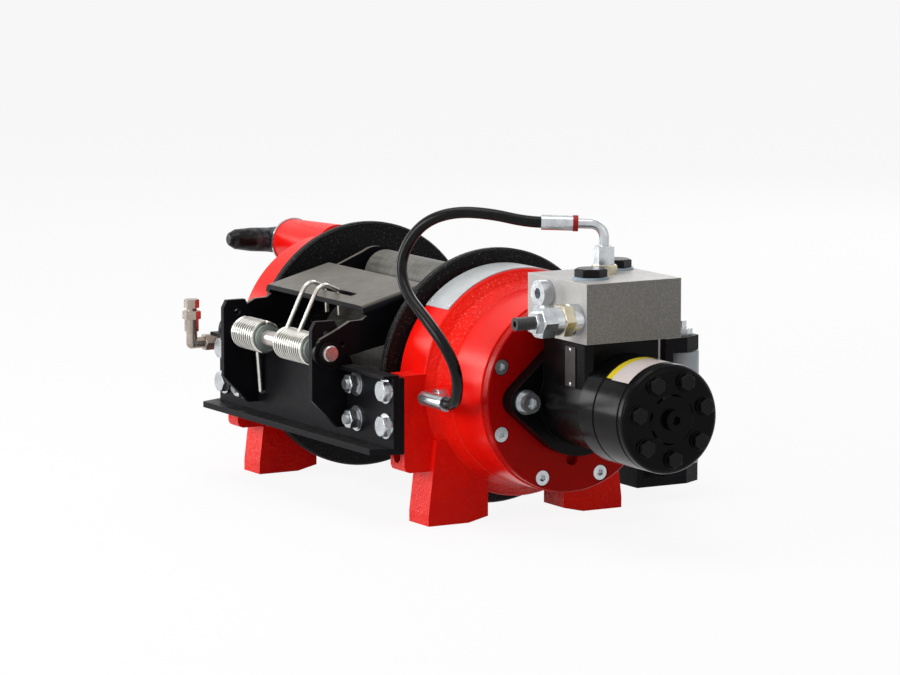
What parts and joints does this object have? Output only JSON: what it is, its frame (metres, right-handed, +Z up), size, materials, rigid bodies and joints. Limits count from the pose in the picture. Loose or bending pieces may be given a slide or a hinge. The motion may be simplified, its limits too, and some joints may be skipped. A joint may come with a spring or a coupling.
{
  "type": "mooring winch",
  "caption": "Hydraulic drum winch with a sprung rope tensioner in front, a roller fairlead behind, a motor with valve block at one end and a clutch handle at the other.",
  "frame": {"origin": "centre of the four foot bolts, in the plane the feet stand on", "axes": "+X along the drum towards the motor, -Y the tensioner side, +Y the fairlead side, +Z up"},
  "size_m": [0.784, 0.4005, 0.3177],
  "materials": {
    "red_cast": "satin",
    "black_plate": "satin",
    "drum_black": "matte",
    "zinc": "satin",
    "spring_steel": "polished",
    "worn_steel": "satin",
    "motor_black": "gloss",
    "block_grey": "satin",
    "yellow_zinc": "satin",
    "oxide_black": "satin",
    "washer_blue": "satin",
    "hose_rubber": "satin",
    "mark_red": "satin",
    "plate_bare": "satin",
    "roller_grey": "satin"
  },
  "bodies": {
    "frame": {"adjuster_lock_nut": "zinc", "adjuster_screw": "oxide_black", "air_fitting": "yellow_zinc", "bracket_nuts": "zinc", "bracket_studs": "zinc", "brake_hose": "hose_rubber", "brake_port_fitting": "zinc", "cartridge_nut": "yellow_zinc", "clutch_collar": "zinc", "clutch_end_cover": "red_cast", "clutch_end_cover_screws": "zinc", "clutch_housing": "red_cast", "elbow_nut": "zinc", "fairlead_frame": "black_plate", "fairlead_lining": "black_plate", "fairlead_pins": "zinc", "front_bolts": "zinc", "front_cross_member": "black_plate", "gear_end_cover": "red_cast", "gear_end_cover_screws": "zinc", "gear_housing": "red_cast", "hose_adapter": "yellow_zinc", "hose_elbow": "zinc", "hose_ferrule": "zinc", "hose_mark_ring": "mark_red", "motor_body": "motor_black", "motor_cap_bolts": "oxide_black", "motor_data_plate": "plate_bare", "motor_end_cap": "motor_black", "motor_flange_screws": "zinc", "motor_gerotor": "motor_black", "motor_plug": "motor_black", "motor_ring": "motor_black", "name_plate": "plate_bare", "pivot_rod": "zinc", "port_plugs": "oxide_black", "port_washers": "washer_blue", "rear_bolts": "zinc", "rear_cross_member": "black_plate", "rod_retaining_rings": "oxide_black", "spring_anchor_leg": "spring_steel", "tensioner_bracket": "black_plate", "valve_block": "block_grey", "valve_cartridge": "zinc", "valve_side_plug": "zinc"},
    "drum": {"drum_barrel": "worn_steel", "drum_flange_left": "drum_black", "drum_flange_right": "drum_black"},
    "tensioner": {"tension_flap": "black_plate", "tension_springs": "spring_steel", "spring_bushes": "oxide_black", "roller_axle": "zinc"},
    "tension_roller": {"tension_roller": "worn_steel"},
    "clutch_handle": {"clutch_handle": "black_plate"},
    "lead_roller_left": {"fairlead_roller_left": "roller_grey"},
    "lead_roller_right": {"fairlead_roller_right": "roller_grey"},
    "lead_roller_lower": {"fairlead_roller_lower": "roller_grey"},
    "lead_roller_upper": {"fairlead_roller_upper": "roller_grey"}
  },
  "joints": [
    {"name": "drum_spin", "type": "hinge", "parent": "frame", "child": "drum", "pos_m": [0, 0, 0.1322], "axis": [1, 0, 0], "continuous": true},
    {"name": "tensioner_lift", "type": "hinge", "parent": "frame", "child": "tensioner", "pos_m": [0, -0.169, 0.1625], "axis": [1, 0, 0], "range_deg": [0, 25], "stiffness_Nm_per_rad": 6, "springref_deg": -34.38},
    {"name": "tension_roller_spin", "type": "hinge", "parent": "tensioner", "child": "tension_roller", "pos_m": [0, -0.001, 0.2111], "axis": [1, 0, 0], "continuous": true},
    {"name": "clutch_turn", "type": "hinge", "parent": "frame", "child": "clutch_handle", "pos_m": [-0.3, 0, 0.222], "axis": [1, 0, 0], "range_deg": [0, 90]},
    {"name": "lead_left_spin", "type": "hinge", "parent": "frame", "child": "lead_roller_left", "pos_m": [-0.168, 0.197, 0.09], "axis": [0, 0, 1], "continuous": true},
    {"name": "lead_right_spin", "type": "hinge", "parent": "frame", "child": "lead_roller_right", "pos_m": [0.168, 0.197, 0.09], "axis": [0, 0, 1], "continuous": true},
    {"name": "lead_lower_spin", "type": "hinge", "parent": "frame", "child": "lead_roller_lower", "pos_m": [0, 0.197, 0.054], "axis": [1, 0, 0], "continuous": true},
    {"name": "lead_upper_spin", "type": "hinge", "parent": "frame", "child": "lead_roller_upper", "pos_m": [0, 0.197, 0.1285], "axis": [1, 0, 0], "continuous": true}
  ]
}
